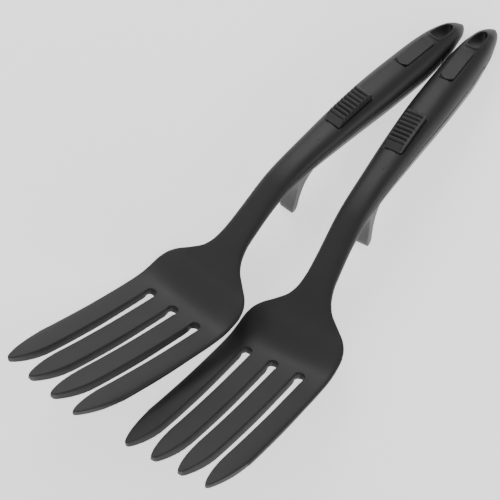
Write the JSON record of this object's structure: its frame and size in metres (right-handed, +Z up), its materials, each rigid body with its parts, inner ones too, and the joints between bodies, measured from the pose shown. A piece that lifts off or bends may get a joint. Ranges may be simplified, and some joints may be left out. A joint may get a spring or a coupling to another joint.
{
  "type": "serving fork pair",
  "caption": "Matching black nylon serving forks with broad slotted heads, pan-rim hooks and hanging holes, laid side by side in a V.",
  "frame": {"origin": "centre of the pair's bounding box on the surface the forks lie on", "axes": "+Z up from that surface, +X from the tine tips towards the handle ends along the line midway between the forks, +Y towards the left fork"},
  "size_m": [0.3474, 0.1432, 0.065],
  "materials": {
    "black_nylon": "satin moulded, fine grain",
    "grey_nylon": "satin moulded, dark grey",
    "pad_rubber": "matte, ribbed",
    "steel_bar": "plain flat bar, hidden inside"
  },
  "bodies": {
    "left_fork": {"left_fork_body": "black_nylon", "left_underside_shell": "grey_nylon", "left_core_bar": "steel_bar", "left_thumb_pad": "pad_rubber", "left_name_plate": "black_nylon", "left_hole_liner": "black_nylon"},
    "right_fork": {"right_fork_body": "black_nylon", "right_underside_shell": "grey_nylon", "right_core_bar": "steel_bar", "right_thumb_pad": "pad_rubber", "right_name_plate": "black_nylon", "right_hole_liner": "black_nylon"}
  },
  "joints": [
    {"name": "right_fork_lift", "type": "slide", "parent": "left_fork", "child": "right_fork", "axis": [0, 0, 1], "range_m": [0, 0.2]}
  ]
}
